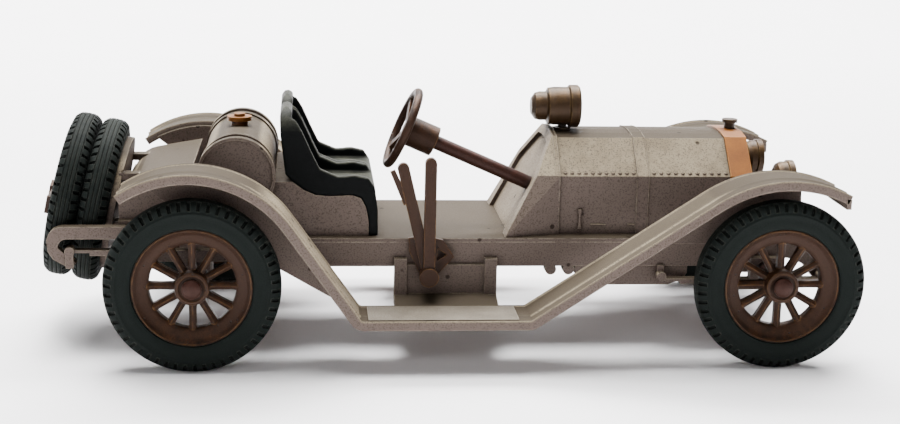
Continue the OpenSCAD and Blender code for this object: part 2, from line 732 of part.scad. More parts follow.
module bonnet() color(silver) place() difference() {
    union() {
        along(bonnet_x, nose_x) polygon(bonnet_section(0, deck_z));
        // the raised band between the two halves of the bonnet
        along(band_x, band_x + band_len) polygon(bonnet_section(0.12, deck_z));
    }
    along(bonnet_x - 1, nose_x + 1) polygon(bonnet_section(-bonnet_wall, deck_z - 1));
}

module radiator_shell() color(brass) place() difference() {
    along(nose_x, nose_x + radiator_len) polygon(bonnet_section(proud, deck_z));
    along(nose_x + 0.5, nose_x + radiator_len + 1) polygon(bonnet_section(-radiator_rim, deck_z + 0.8));
}

module radiator_core() color(black) place()
    along(nose_x + 0.5, nose_x + radiator_len - 0.5) polygon(bonnet_section(-radiator_rim, deck_z + 0.8));

module radiator_cap() color(brass) place()
    translate([nose_x + radiator_len / 2 + 0.3, 0, crown_z + proud]) {
        cylinder(r = 0.6, h = 0.7);
        translate([0, 0, 0.65]) cylinder(r = 0.85, h = 0.35);
    }

// ---- lamps ----

module headlamp() {
    translate([lamp_x, -lamp_y, lamp_z]) rotate([0, 90, 0]) {
        r = lamp_d / 2;
        rotate_extrude() polygon([[0, 0], [r * 0.55, 0], [r * 0.82, 0.3], [r * 0.92, 0.7],
            [r * 0.92, lamp_len - 0.7], [r, lamp_len - 0.6], [r, lamp_len], [r * 0.85, lamp_len],
            [r * 0.8, lamp_len - 0.25], [0, lamp_len - 0.05]]);
    }
    translate([lamp_x + lamp_len / 2, -lamp_y, deck_z]) {
        cylinder(r = lamp_post_r, h = lamp_z - deck_z - lamp_d * 0.3);
        cylinder(r = 2 * lamp_post_r, h = 0.4);
    }
}
module right_headlamp() color(brass) place() headlamp();
module left_headlamp() color(brass) place() mirror([0, 1, 0]) headlamp();

module searchlight() color(brass) place() {
    r = search_d / 2;
    translate([search_x, 0, search_z]) rotate([0, 90, 0])
        rotate_extrude() polygon([[0, 0], [r * 0.38, 0.1], [r * 0.62, 0.5], [r * 0.68, 1], [r * 0.68, 1.7],
            [r * 0.86, 1.9], [r * 0.9, 2.6], [r * 0.9, 4.1], [r, 4.25], [r, 5.15], [r * 0.93, 5.35],
            [r * 0.85, 5.35], [r * 0.8, 5.1], [0, 5.1]]);
    // the foot stands on the bonnet, clear of the scuttle's raised edge
    translate([search_foot_x, 0, crown_z]) {
        cylinder(r = search_foot_r / 2, h = search_z - crown_z);
        cylinder(r = search_foot_r, h = 0.25);
    }
}

// ---- steering and levers ----

module steering_column() color(bronze) place() column_bar(column_d / 2, boss_len - 1, column_len + socket);

module steering_wheel() color(bronze) place()
    translate([steer_at[0], -steer_y, steer_at[1]]) rotate([0, 90 + column_slope, 0]) {
        ring_r = 0.45;
        big_r = steer_d / 2 - ring_r;
        rotate_extrude() translate([big_r, 0]) circle(r = ring_r);
        // four spokes dish down to the boss
        for (i = [0:3]) rotate(45 + 90 * i) rotate([90, 0, 0]) linear_extrude(0.7, center = true)
            polygon([[0.4, 0.2], [big_r, -0.25], [big_r, 0.2], [0.4, 0.8]]);
        difference() {
            rotate_extrude()
                polygon([[0, 0.1], [1, 0.1], [boss_r, 0.5], [boss_r, boss_len], [0, boss_len]]);
            translate([0, 0, boss_len - 1]) cylinder(r = column_d / 2, h = 2);
        }
    }

// a lever in X and Z, hung on the pin and pointing to a round tip
module lever(tip, y) {
    d = tip - pivot_at;
    r = lever_w / 2;
    grip = norm(d) - r;
    difference() {
        union() {
            translate([pivot_at[0], -y, pivot_at[1]]) rotate([0, -atan2(d[1], d[0]), 0]) rotate([90, 0, 0])
                linear_extrude(lever_t)
                    polygon(concat([[0, r], [0, -r]],
                        [for (a = [-90:15:90]) [grip + r * cos(a), r * sin(a)]]));
            bar(pivot_at[0], pivot_at[1], pivot_d / 2 + 0.4, -y - lever_t, -y);
        }
        bar(pivot_at[0], pivot_at[1], pivot_d / 2, -y - 2 * lever_t, -y + lever_t);
    }
}

module brake_lever() color(bronze) place() {
    lever(brake_tip, brake_y);
    // the release trigger behind the grip
    across(-brake_y - lever_t * 0.8, -brake_y - lever_t * 0.2)
        polygon([for (p = [[-1.22, -0.9], [-0.72, -0.7], [0.83, -4], [0.23, -4.4]]) brake_tip + p]);
}
module gear_lever() color(bronze) place() lever(gear_tip, gear_y);

module lever_quadrant() color(bronze) place() difference() {
    across(-brake_y, -quad_y)
        polygon([for (p = [[-1, 0.2], [-2, 2.4], [-2.1, 3.8], [-0.5, 4.1], [1.5, 3.6], [2.7, 1.8],
            [1.1, 0], [0, -1]]) pivot_at + p]);
    // the lightening hole
    across(-brake_y - 1, -quad_y + 1) polygon([for (p = [[0.9, 1.4], [1, 2.7], [1.9, 2]]) pivot_at + p]);
    bar(pivot_at[0], pivot_at[1], pivot_d / 2, -brake_y - 1, -quad_y + 1);
}

module lever_pivot() color(bronze) place() {
    bar(pivot_at[0], pivot_at[1], pivot_d / 2, -cap_y, -rail_in - 0.3);
    bar(pivot_at[0], pivot_at[1], 1, -cap_y - 0.35, -cap_y);
}

chassis_frame();
floor_deck();
base_plate();
sump();
base_rivets();
right_wing();
left_wing();
right_tread();
left_tread();
right_step();
left_step();
rear_right_spring();
rear_left_spring();
front_right_spring();
front_left_spring();
rear_axle();
front_axle();
rear_right_wheel();
rear_left_wheel();
front_right_wheel();
front_left_wheel();
rear_right_tyre();
rear_left_tyre();
front_right_tyre();
front_left_tyre();
tail_box();
tank_saddles();
fuel_tank();
tank_straps();
filler_cap();
spare_carrier();
inner_spare_tyre();
outer_spare_tyre();
spare_clamp();
seat_box();
driver_seat();
passenger_seat();
scuttle();
bonnet();
radiator_shell();
radiator_core();
radiator_cap();
right_headlamp();
left_headlamp();
searchlight();
steering_column();
steering_wheel();
lever_quadrant();
brake_lever();
gear_lever();
lever_pivot();
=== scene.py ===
import math

import bmesh
import bpy
from mathutils import Matrix, Vector


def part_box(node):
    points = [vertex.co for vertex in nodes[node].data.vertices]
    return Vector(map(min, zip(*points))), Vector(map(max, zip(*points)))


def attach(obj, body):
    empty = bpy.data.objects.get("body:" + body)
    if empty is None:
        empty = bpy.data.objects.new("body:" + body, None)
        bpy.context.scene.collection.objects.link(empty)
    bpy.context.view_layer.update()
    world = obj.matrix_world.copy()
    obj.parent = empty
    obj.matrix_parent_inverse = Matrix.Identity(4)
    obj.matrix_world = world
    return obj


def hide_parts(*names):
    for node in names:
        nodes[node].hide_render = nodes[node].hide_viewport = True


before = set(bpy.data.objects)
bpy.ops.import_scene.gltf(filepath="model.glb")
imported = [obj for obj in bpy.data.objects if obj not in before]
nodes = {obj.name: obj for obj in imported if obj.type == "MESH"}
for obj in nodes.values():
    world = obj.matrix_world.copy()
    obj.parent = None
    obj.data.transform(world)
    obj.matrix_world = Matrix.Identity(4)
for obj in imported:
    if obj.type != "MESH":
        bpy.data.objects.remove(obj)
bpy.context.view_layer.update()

MM = 0.001

# ---- Table and light ----
# A sheet of pale card lies under the car and curls up behind it.
# A soft panel hangs overhead, a second one lights the card's far end, and a weak one fills the near side.


def mesh_object(name, verts, faces, smooth=False):
    mesh = bpy.data.meshes.new(name)
    mesh.from_pydata([tuple(v) for v in verts], [], faces)
    mesh.update()
    for face in mesh.polygons:
        face.use_smooth = smooth
    piece = bpy.data.objects.new(name, mesh)
    bpy.context.collection.objects.link(piece)
    return piece


def put(tree, kind, sockets=None, **options):
    """Adds a shader node, sets its options, and fills or joins its input sockets."""
    node = tree.nodes.new("ShaderNode" + kind)
    for option, value in options.items():
        setattr(node, option, value)
    for socket, value in (sockets or {}).items():
        if isinstance(value, bpy.types.NodeSocket):
            tree.links.new(value, node.inputs[socket])
        else:
            node.inputs[socket].default_value = value
    return node


def mix_colour(tree, factor, first, second):
    """Mixes two colours; the node's colour sockets are numbers 6 and 7."""
    node = put(tree, "Mix", data_type="RGBA")
    for index, value in ((0, factor), (6, first), (7, second)):
        if isinstance(value, bpy.types.NodeSocket):
            tree.links.new(value, node.inputs[index])
        else:
            node.inputs[index].default_value = value
    return node.outputs[2]


def maths(tree, operation, first, second=0.0):
    node = put(tree, "Math", operation=operation)
    for index, value in enumerate((first, second)):
        if isinstance(value, bpy.types.NodeSocket):
            tree.links.new(value, node.inputs[index])
        else:
            node.inputs[index].default_value = value
    return node.outputs[0]


def ramp(tree, value, low, high, to_low=0.0, to_high=1.0):
    return put(
        tree, "MapRange",
        {"Value": value, "From Min": low, "From Max": high, "To Min": to_low, "To Max": to_high},
        interpolation_type="SMOOTHSTEP",
    ).outputs[0]


card_front, card_bend, card_bend_r, card_rise, card_steps, card_half = -1.0, 0.22, 0.32, 50, 24, 1.3
card_line = [(card_front, 0.0), (card_bend, 0.0)]
for step in range(1, card_steps + 1):
    angle = math.radians(card_rise * step / card_steps)
    card_line.append((card_bend + card_bend_r * math.sin(angle), card_bend_r * (1 - math.cos(angle))))
card = mesh_object(
    "card",
    [(x, y, z) for y, z in card_line for x in (-card_half, card_half)],
    [(2 * i, 2 * i + 1, 2 * i + 3, 2 * i + 2) for i in range(len(card_line) - 1)],
    smooth=True,
)
card_paper = bpy.data.materials.new("card_paper")
card_paper.use_nodes = True
paper = card_paper.node_tree
paper_shader = paper.nodes["Principled BSDF"]
paper_shader.inputs["Roughness"].default_value = 0.75
paper_shader.inputs["Specular IOR Level"].default_value = 0.2
paper_fibre = put(paper, "TexNoise", {"Scale": 60.0, "Detail": 3.0})
paper.links.new(
    mix_colour(paper, paper_fibre.outputs["Fac"], (0.87, 0.855, 0.865, 1), (0.90, 0.89, 0.90, 1)),
    paper_shader.inputs["Base Color"],
)
card.data.materials.append(card_paper)


def soft_panel(name, place, aim, width, depth, watts):
    light = bpy.data.lights.new(name, "AREA")
    light.shape = "RECTANGLE"
    light.size, light.size_y, light.energy = width, depth, watts
    panel = bpy.data.objects.new(name, light)
    bpy.context.collection.objects.link(panel)
    panel.location = place
    panel.rotation_euler = (Vector(aim) - Vector(place)).to_track_quat("-Z", "Y").to_euler()
    return panel


soft_panel("overhead_panel", (-0.03, 0.03, 0.50), (0.0, 0.0, 0.0), 0.30, 0.20, 6.6)
soft_panel("card_panel", (0.0, 0.42, 0.60), (0.0, 0.50, 0.0), 1.0, 0.3, 36.0)
soft_panel("front_panel", (-0.15, -0.50, 0.38), (0.0, 0.0, 0.01), 0.35, 0.25, 1.0)

world = bpy.data.worlds.new("room")
bpy.context.scene.world = world
world.use_nodes = True
room_glow = world.node_tree.nodes["Background"].inputs
room_glow["Color"].default_value = (0.80, 0.80, 0.83, 1)
room_glow["Strength"].default_value = 0.10

camera_place = Vector((-14.64, -164.65, 51.93)) * MM
camera_aim = Vector((1.07, 0.0, 12.65)) * MM
camera_roll = math.radians(1.35)
camera_lens = 61.88
camera = bpy.data.objects.new("camera", bpy.data.cameras.new("camera"))
bpy.context.collection.objects.link(camera)
camera.matrix_world = (
    Matrix.Translation(camera_place)
    @ (camera_aim - camera_place).to_track_quat("-Z", "Y").to_matrix().to_4x4()
    @ Matrix.Rotation(camera_roll, 4, "Z")
)
camera.data.lens = camera_lens
camera.data.sensor_width = 36.0
camera.data.clip_start = 0.01
bpy.context.scene.camera = camera

# ---- Cast frame and floor ----
# The frame, floor, wings and body are zinc castings under one coat of silver lacquer.
# Age has left pinholes and rubbed edges, which are paled partly as a painted highlight; the corners carry
# brown painted shade; the tread plates are paler.


def shader_group(name, inputs, outputs):
    group = bpy.data.node_groups.new(name, "ShaderNodeTree")
    for socket, kind, value in inputs:
        made = group.interface.new_socket(socket, in_out="INPUT", socket_type="NodeSocket" + kind)
        if value is not None:
            made.default_value = value
    for socket, kind in outputs:
        group.interface.new_socket(socket, in_out="OUTPUT", socket_type="NodeSocket" + kind)
    return group, group.nodes.new("NodeGroupInput").outputs, group.nodes.new("NodeGroupOutput").inputs


# edges partly rubbed bare and partly a painted highlight: where the rounded normal leaves the true one,
# broken up by noise
edge_wear_and_highlight, enter, leave = shader_group(
    "edge_wear_and_highlight", [("Width", "Float", 0.00015), ("Patch Size", "Float", 0.001)], [("Mask", "Float")])
round_normal = put(edge_wear_and_highlight, "Bevel", {"Radius": enter["Width"]}, samples=4)
true_normal = put(edge_wear_and_highlight, "NewGeometry")
turn = put(edge_wear_and_highlight, "VectorMath",
           {0: round_normal.outputs[0], 1: true_normal.outputs["Normal"]}, operation="DOT_PRODUCT")
bent = ramp(edge_wear_and_highlight, turn.outputs["Value"], 0.99, 0.80)
where = put(edge_wear_and_highlight, "TexCoord")
patch_scale = maths(edge_wear_and_highlight, "DIVIDE", 1.0, enter["Patch Size"])
patch_noise = put(
    edge_wear_and_highlight, "TexNoise",
    {"Vector": where.outputs["Object"], "Scale": patch_scale, "Detail": 4.0, "Roughness": 0.65})
patches = ramp(edge_wear_and_highlight, patch_noise.outputs["Fac"], 0.35, 0.6)
edge_wear_and_highlight.links.new(maths(edge_wear_and_highlight, "MULTIPLY", bent, patches), leave["Mask"])

# small round pits left by the casting, some cells only
casting_pits, enter, leave = shader_group(
    "casting_pits", [("Pitch", "Float", 0.0012), ("Share", "Float", 0.3), ("Radius", "Float", 0.2)],
    [("Mask", "Float")])
where = put(casting_pits, "TexCoord")
cell_scale = maths(casting_pits, "DIVIDE", 1.0, enter["Pitch"])
cells = put(casting_pits, "TexVoronoi", {"Vector": where.outputs["Object"], "Scale": cell_scale})
dot = maths(casting_pits, "SUBTRACT", enter["Radius"], cells.outputs["Distance"])
dot = ramp(casting_pits, dot, 0.0, 0.08)
pick = put(casting_pits, "SeparateColor", {"Color": cells.outputs["Color"]})
chosen = maths(casting_pits, "LESS_THAN", pick.outputs[0], enter["Share"])
casting_pits.links.new(maths(casting_pits, "MULTIPLY", dot, chosen), leave["Mask"])

# fine grain of the flake in the lacquer
flake_grain, enter, leave = shader_group(
    "flake_grain", [("Size", "Float", 0.0003)], [("Value", "Float")])
where = put(flake_grain, "TexCoord")
grain_scale = maths(flake_grain, "DIVIDE", 1.0, enter["Size"])
grain = put(
    flake_grain, "TexNoise",
    {"Vector": where.outputs["Object"], "Scale": grain_scale, "Detail": 5.0, "Roughness": 0.7})
flake_grain.links.new(grain.outputs["Fac"], leave["Value"])

# painted shade where two faces meet, from occlusion, broken up by noise
corner_shade, enter, leave = shader_group(
    "corner_shade", [("Reach", "Float", 0.001), ("Patch Size", "Float", 0.002)], [("Mask", "Float")])
open_sky = put(corner_shade, "AmbientOcclusion", {"Distance": enter["Reach"]}, samples=4)
where = put(corner_shade, "TexCoord")
patch_scale = maths(corner_shade, "DIVIDE", 1.0, enter["Patch Size"])
patch_noise = put(
    corner_shade, "TexNoise",
    {"Vector": where.outputs["Object"], "Scale": patch_scale, "Detail": 5.0, "Roughness": 0.6})
shut = ramp(corner_shade, open_sky.outputs["AO"], 0.95, 0.35)
patches = ramp(corner_shade, patch_noise.outputs["Fac"], 0.2, 0.65)
corner_shade.links.new(maths(corner_shade, "MULTIPLY", shut, patches), leave["Mask"])


def place_group(tree, group, **values):
    node = put(tree, "Group", node_tree=group)
    for socket, value in values.items():
        node.inputs[socket.replace("_", " ")].default_value = value
    return node.outputs[0]


def shaded(tint, share):
    return tuple(c * share for c in tint) + (1,)


def cast_finish(name, light, dark, side, shade_and_dirt_tone, bare_and_highlight, metallic, rough, gloss=0.3, flat_top_shade_amount=0.0, edge_wear_and_highlight_share=0.7,
                patch=0.004, grain=0.00012, speckle=0.5, pits=0.12, pit_pitch=0.0016, bump=0.00002):
    """A finish in patchy tones, with a separate colour on upright faces that is painted shade and painted
    reflection.

    Speckle, pits, painted shade in corners, edges paled partly by rubbed-bare wear and partly as a painted
    highlight, and painted shade on flat tops lie over it.
    """
    edge_wear_and_highlight_width, corner_shade_reach, corner_shade_cover, round_edge = 0.00018, 0.0012, 0.8, 0.00008
    fleck_share, flat_top_shade_share, pit_share, pit_cover, pit_depth = 0.45, 0.22, 0.5, 0.75, 1.5
    smoothest, roughest = rough - 0.08, rough + 0.14
    finish = bpy.data.materials.new(name)
    finish.use_nodes = True
    tree = finish.node_tree
    shader = tree.nodes["Principled BSDF"]
    shader.inputs["Specular IOR Level"].default_value = gloss
    tone = place_group(tree, flake_grain, Size=patch)
    speck = place_group(tree, flake_grain, Size=grain)
    pit = place_group(tree, casting_pits, Pitch=pit_pitch, Share=pits)
    edge_wear_and_highlight_mask = place_group(tree, edge_wear_and_highlight, Width=edge_wear_and_highlight_width)
    corner_shade_mask = place_group(tree, corner_shade, Reach=corner_shade_reach)
    facing = put(tree, "SeparateXYZ", {0: put(tree, "NewGeometry").outputs["Normal"]})
    colour = mix_colour(tree, ramp(tree, tone, 0.3, 0.7), light + (1,), dark + (1,))
    # upright faces take the side colour: painted shade, warm-tinted as a painted reflection
    colour = mix_colour(tree, ramp(tree, facing.outputs["Z"], 0.75, 0.05), colour, side + (1,))
    # flat tops are darkened towards the dark tone: painted shade
    flat_top_shade = maths(tree, "MULTIPLY", ramp(tree, facing.outputs["Z"], 0.73, 0.86), flat_top_shade_amount)
    colour = mix_colour(tree, flat_top_shade, colour, shaded([c + d for c, d in zip(dark, shade_and_dirt_tone)], flat_top_shade_share))
    fleck = maths(tree, "MULTIPLY", ramp(tree, speck, 0.50, 0.62), speckle)
    colour = mix_colour(tree, fleck, colour, shaded(side, fleck_share))
    # edges are paled towards the bare colour: partly rubbed-bare wear, partly a painted highlight
    colour = mix_colour(tree, maths(tree, "MULTIPLY", edge_wear_and_highlight_mask, edge_wear_and_highlight_share), colour, bare_and_highlight + (1,))
    # corners are darkened by the occlusion mask: painted shade
    colour = mix_colour(tree, maths(tree, "MULTIPLY", corner_shade_mask, corner_shade_cover), colour, shade_and_dirt_tone + (1,))
    colour = mix_colour(tree, maths(tree, "MULTIPLY", pit, pit_cover), colour, shaded(shade_and_dirt_tone, pit_share))
    tree.links.new(colour, shader.inputs["Base Color"])
    tree.links.new(ramp(tree, speck, 0.2, 0.8, smoothest, roughest), shader.inputs["Roughness"])
    clear_of_corners_and_pits = maths(tree, "SUBTRACT", 1.0, maths(tree, "MAXIMUM", corner_shade_mask, pit))
    tree.links.new(maths(tree, "MULTIPLY", clear_of_corners_and_pits, metallic), shader.inputs["Metallic"])
    height = maths(tree, "SUBTRACT", speck, maths(tree, "MULTIPLY", pit, pit_depth))
    soft_edge = put(tree, "Bevel", {"Radius": round_edge}, samples=4)
    relief = put(tree, "Bump", {"Height": height, "Distance": bump, "Normal": soft_edge.outputs[0]})
    tree.links.new(relief.outputs[0], shader.inputs["Normal"])
    return finish


def finish_nodes(finish, *names):
    for name in names:
        slots = nodes[name].data.materials
        slots.clear()
        slots.append(finish)


# the side colour is painted shade with a warm painted reflection on upright faces; flat tops take painted
# shade too
silver_lacquer = cast_finish(
    "silver_lacquer", light=(0.240, 0.198, 0.135), dark=(0.165, 0.132, 0.088), side=(0.122, 0.094, 0.080),
    shade_and_dirt_tone=(0.014, 0.007, 0.004), bare_and_highlight=(0.34, 0.29, 0.22), metallic=0.06, rough=0.58, gloss=0.05,
    speckle=0.75, grain=0.00016, flat_top_shade_amount=0.95)
finish_nodes(silver_lacquer, *nodes)
tread_lacquer = cast_finish(
    "tread_lacquer", light=(0.15, 0.130, 0.100), dark=(0.10, 0.085, 0.064), side=(0.13, 0.094, 0.078),
    shade_and_dirt_tone=(0.014, 0.007, 0.004), bare_and_highlight=(0.36, 0.32, 0.25), metallic=0.15, rough=0.5, gloss=0.15, speckle=0.7)
finish_nodes(tread_lacquer, "left_tread", "right_tread")

# ---- Wings and running boards ----
# Each side is one casting: two arched wings and the board between them, over a deep skirt.
# Rolled beads run along the top, and a valance sheet closes the inner side of each wheel arch.

rear_x, axle_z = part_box("rear_axle")[0][0] * 1000 + 1.0, 8.8
front_x = rear_x + 59.6
wing_out, wing_w, wing_t, skirt_h = 17.8, 5.8, 0.7, 0.85
rear_arch, rear_arch_r, rear_slope, rear_tip_x = (rear_x - 0.25, 8.15), 12.2, 54.5, rear_x - 7.1
front_arch, front_arch_r, front_slope, front_tip_x = (front_x, 6.4), 13.5, 33.5, front_x + 6.15
board_z, board_bend_r = 5.5, 0.7


def skin(rows, ring=False, tube=True, caps=False):
    """A skin over rows of points. ring joins the last row to the first, tube closes every row."""
    count = len(rows[0])
    points = [tuple(p) for row in rows for p in row]
    faces = []
    for i in range(len(rows) - (0 if ring else 1)):
        a, b = i * count, (i + 1) % len(rows) * count
        for j in range(count - (0 if tube else 1)):
            k = (j + 1) % count
            faces.append((a + j, a + k, b + k, b + j))
    if caps:
        faces += [tuple(range(count)), tuple(range(len(points) - count, len(points)))]
    return points, faces


def turned(line, steps=72, tube=False):
    """A skin turned about Z from a line of (radius, height)."""
    turns = [math.tau * i / steps for i in range(steps)]
    rows = [[(r * math.cos(a), r * math.sin(a), z) for r, z in line] for a in turns]
    return skin(rows, ring=True, tube=tube)


def shell(name, skins, finish, crease=35, place=Matrix()):
    """One piece from several skins in millimetres, with its finish."""
    points, faces = [], []
    for skin_points, skin_faces in skins:
        faces += [tuple(i + len(points) for i in face) for face in skin_faces]
        points += [place @ Vector(p) for p in skin_points]
    piece = mesh_object(name, [p * MM for p in points], faces, smooth=True)
    work = bmesh.new()
    work.from_mesh(piece.data)
    bmesh.ops.remove_doubles(work, verts=work.verts, dist=1e-7)
    bmesh.ops.recalc_face_normals(work, faces=work.faces)
    work.to_mesh(piece.data)
    work.free()
    piece.data.set_sharp_from_angle(angle=math.radians(crease))
    piece.data.materials.append(finish)
    return piece


def arc(centre, radius, first, last, steps):
    """Points and outward normals on an arc, with angles from the vertical."""
    found = []
    for i in range(steps + 1):
        a = math.radians(first + (last - first) * i / steps)
        out_x, out_z = math.sin(a), math.cos(a)
        found.append((centre[0] + radius * out_x, centre[1] + radius * out_z, out_x, out_z))
    return found


def board_bend(end, slope, sign):
    """The small bend where a wing's slope, running on from its arc's end, meets the board."""
    run = (end[1] - board_z) / math.tan(math.radians(slope))
    corner = end[0] + sign * run
    centre = (corner + sign * board_bend_r * math.tan(math.radians(slope / 2)), board_z + board_bend_r)
    return arc(centre, -board_bend_r, sign * slope, 0, 5)


def tip_turn(tip_x, centre, radius):
    return math.degrees(math.asin((tip_x - centre[0]) / radius))


rear_line = arc(rear_arch, rear_arch_r, tip_turn(rear_tip_x, rear_arch, rear_arch_r), rear_slope, 40)
front_line = arc(
    front_arch, front_arch_r, -front_slope, tip_turn(front_tip_x, front_arch, front_arch_r), 36)
wing_line = (rear_line + board_bend(rear_line[-1], rear_slope, 1)
             + board_bend(front_line[0], front_slope, -1)[::-1] + front_line)

# across the wing: distance in from the outer edge, and height above the sheet
wing_section = [
    # the lip's outer face, and the bead at the outer edge
    (0.0, -skirt_h + 0.08), (0.0, -0.06), (0.03, 0.06), (0.12, 0.14), (0.26, 0.15), (0.38, 0.09),
    (0.46, -0.02), (0.55, -0.04),
    # the second bead
    (1.60, -0.01), (1.72, 0.02), (1.84, 0.11), (2.00, 0.15), (2.16, 0.11), (2.28, 0.02), (2.40, -0.03),
    (2.55, -0.01),
    # the bead at the inner edge
    (5.30, 0.0), (5.42, 0.02), (5.50, 0.11), (5.62, 0.15), (5.74, 0.10), (wing_w, 0.0),
    # back under the sheet
    (wing_w, -wing_t + 0.1), (wing_w - 0.1, -wing_t), (0.70, -wing_t), (0.70, -skirt_h + 0.06),
    (0.62, -skirt_h), (0.10, -skirt_h)]


def plate(outline, low, high):
    """A flat sheet of (x, z) outline, from y low to y high."""
    return skin([[(x, y, z) for x, z in outline] for y in (low, high)], caps=True)


def block(low, high):
    """A box skin between two corners."""
    (x0, y0, z0), (x1, y1, z1) = low, high
    return skin([[(x0, y, z0), (x1, y, z0), (x1, y, z1), (x0, y, z1)] for y in (y0, y1)], caps=True)


def inside(line, depth):
    return [(x - depth * nx, z - depth * nz) for x, z, nx, nz in line]


valance_t, valance_sink = 0.6, 0.35
wing_in = wing_out - wing_w
rear_valance = [p for p in inside(rear_line, valance_sink) if p[0] > rear_tip_x + 1.2]
rear_valance += [(rear_x + 16.3, board_z - 0.3), (rear_x + 13.4, board_z + 1.2), (rear_x - 0.9, 14.95)]
valance_nose_x, valance_foot_x, valance_foot_z = front_x + 3, front_x - 15.6, 12.15
front_valance = [p for p in inside(front_line, valance_sink) if p[0] < valance_nose_x]
front_valance += [(valance_nose_x, valance_foot_z), (valance_foot_x, valance_foot_z)]

# the stays that tie each wing to the frame, from the axle: low and high corners on the left side
rear_stay = ((rear_x - 1.6, 8.35, 13.8), (rear_x - 0.2, 11.6, 15.5))
front_stay = ((front_x - 2.6, 7.5, 11.95), (front_x - 1.2, 11.6, 12.55))
lip_t, lip_low, lip_high, lip_gap = 0.5, 17.17, 18.2, 0.02
for side, sign in (("right", -1), ("left", 1)):
    swept = skin(
        [[(x + h * nx, sign * (wing_out - t), z + h * nz) for t, h in wing_section]
         for x, z, nx, nz in wing_line],
        caps=True)
    sheets = [plate(outline, sign * (wing_in - valance_t), sign * wing_in)
              for outline in (rear_valance, front_valance)]
    stays = [block((x0, sign * y0, z0), (x1, sign * y1, z1))
             for (x0, y0, z0), (x1, y1, z1) in (rear_stay, front_stay)]
    lip = block((front_tip_x - lip_t, sign * (wing_in + lip_gap), lip_low),
                (front_tip_x - lip_gap, sign * wing_out, lip_high))
    wing = shell(side + "_wing_shell", [swept, lip] + sheets + stays, silver_lacquer)
    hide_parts(side + "_wing")
    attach(wing, "chassis")

# ---- Axles and wheels ----
# Each wheel is one plated casting: a rim with a sloping band, twelve spokes and a deep hub.
# It turns on a steel rod with a riveted head at each end.

bronze_plating = cast_finish(
    "bronze_plating", light=(0.055, 0.021, 0.006), dark=(0.013, 0.006, 0.003), side=(0.026, 0.010, 0.004),
    shade_and_dirt_tone=(0.006, 0.003, 0.002), bare_and_highlight=(0.22, 0.105, 0.028), metallic=0.45, rough=0.45, patch=0.0012,
    pits=0.3, pit_pitch=0.0006, bump=0.00004)
rust_steel = cast_finish(
    "rust_steel", light=(0.045, 0.012, 0.006), dark=(0.018, 0.006, 0.003), side=(0.028, 0.008, 0.004),
    shade_and_dirt_tone=(0.006, 0.003, 0.002), bare_and_highlight=(0.20, 0.08, 0.04), metallic=0.4, rough=0.5, patch=0.0008)
finish_nodes(bronze_plating, "steering_wheel", "lever_quadrant", "brake_lever", "gear_lever", "lever_pivot",
             "spare_clamp")
finish_nodes(rust_steel, "steering_column")

rim_line = [
    (6.0, -1.0), (6.0, 1.08), (5.95, 1.17), (5.82, 1.22), (5.70, 1.16), (5.62, 1.02), (5.20, 0.80),
    (4.75, 0.64), (4.42, 0.50), (4.32, 0.36), (4.30, 0.10), (4.30, -0.45), (4.42, -0.60), (5.50, -1.02),
    (5.80, -1.10)]
hub_line = [
    (0.65, -1.8), (1.58, -1.8), (1.70, -1.68), (1.70, 1.28), (1.64, 1.42), (1.50, 1.50), (1.34, 1.50),
    (1.24, 1.40), (1.16, 1.36), (0.65, 1.36)]
spoke_section = [(-0.37, -0.40), (0.37, -0.40), (0.37, 0.22), (0.20, 0.40), (0.0, 0.50), (-0.20, 0.40),
                 (-0.37, 0.22)]
spoke_count = 12
spoke_swell = ((1.5, 1.15), (1.9, 1.02), (3.0, 0.96), (4.0, 1.0), (4.45, 1.15))  # radius, thickness
wheel_skins = [turned(rim_line, 96, tube=True), turned(hub_line, 72, tube=True)]
for i in range(spoke_count):
    turn = Matrix.Rotation(math.tau * i / spoke_count, 3, "Z")
    wheel_skins.append(skin(
        [[turn @ Vector((r, t * swell, z * swell)) for t, z in spoke_section] for r, swell in spoke_swell],
        caps=True))
wheel_y = 15.4
axle_turns = {
    "right": Matrix(((0, -1, 0), (0, 0, -1), (1, 0, 0))).to_4x4(),
    "left": Matrix(((0, 1, 0), (0, 0, 1), (1, 0, 0))).to_4x4(),
}
head_line = [(0.0, 17.45), (0.45, 17.42), (0.80, 17.30), (0.98, 17.12), (1.0, 17.0), (0.60, 17.0)]
axle_line = head_line + [(r, -y) for r, y in reversed(head_line)]
for end, x in (("rear", rear_x), ("front", front_x)):
    rod = shell(end + "_axle_rod", [turned(axle_line, 48)], rust_steel,
                place=Matrix.Translation((x, 0, axle_z)) @ axle_turns["right"])
    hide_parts(end + "_axle")
    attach(rod, end + "_axle_set")
    for side, sign in (("right", -1), ("left", 1)):
        wheel = shell(f"{end}_{side}_spoked_wheel", wheel_skins, bronze_plating,
                      place=Matrix.Translation((x, sign * wheel_y, axle_z)) @ axle_turns[side])
        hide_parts(f"{end}_{side}_wheel")
        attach(wheel, f"{end}_{side}_wheel_set")

# ---- Tyres ----
# Soft rubber rings pressed over the rims, with notched shoulders and a grooved crown.
# The two spares are the same ring, stacked on a leaning drum behind the tail.

tyre_rubber = cast_finish(
    "tyre_rubber", light=(0.0085, 0.0115, 0.0100), dark=(0.0050, 0.0070, 0.0060),
    side=(0.0065, 0.0090, 0.0080), shade_and_dirt_tone=(0.003, 0.003, 0.003), bare_and_highlight=(0.060, 0.064, 0.052), metallic=0.0,
    rough=0.72, speckle=0.3, pits=0.0, edge_wear_and_highlight_share=0.5, bump=0.00001, gloss=0.08)

